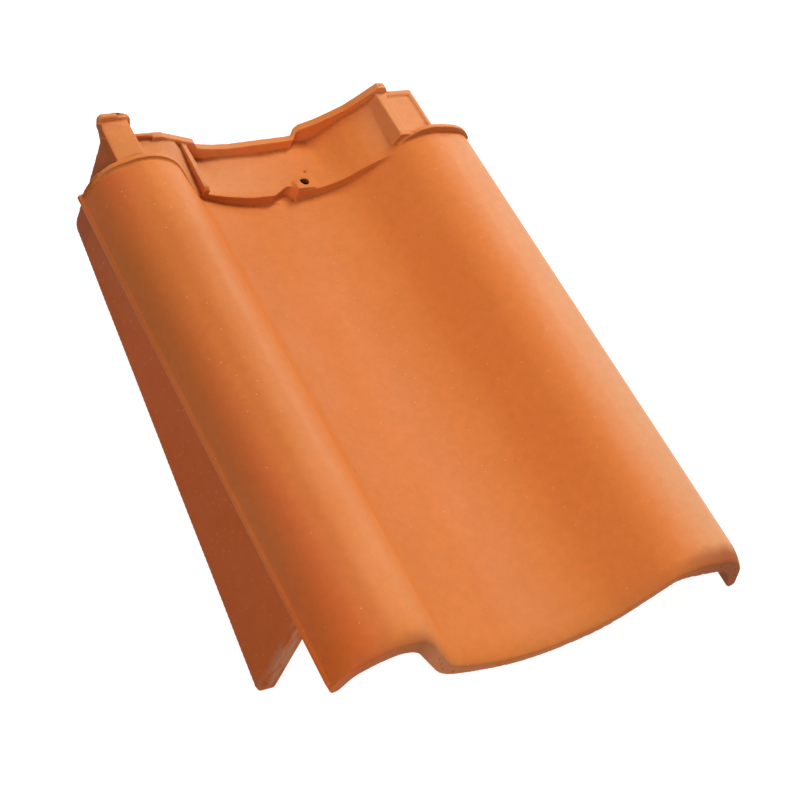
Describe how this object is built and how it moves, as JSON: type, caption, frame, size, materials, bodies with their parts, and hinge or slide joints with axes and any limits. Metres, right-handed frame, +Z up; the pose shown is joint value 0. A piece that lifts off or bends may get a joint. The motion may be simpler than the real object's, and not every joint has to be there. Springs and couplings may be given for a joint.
{
  "type": "clay roof tile",
  "caption": "Left-hand verge interlocking clay pantile: two rolls beside a wide pan, a hanging flange under the left roll and a ribbed head with a nail hole and hanging nibs.",
  "frame": {"origin": "middle of the footprint, on the floor the tile lies on", "axes": "+Y along the tile from its tail edge to its head, +Z up, +X across the tile from the flange side to the lock side; lying unheld the tile is tilted about Y, flange side up, and stands on the flange's front corner, the right lip and a nib"},
  "size_m": [0.2944, 0.4028, 0.1241],
  "materials": {
    "terracotta": "unglazed fired clay, fine grained, matt"
  },
  "bodies": {
    "root": {"verge_tile": "terracotta"}
  },
  "joints": []
}
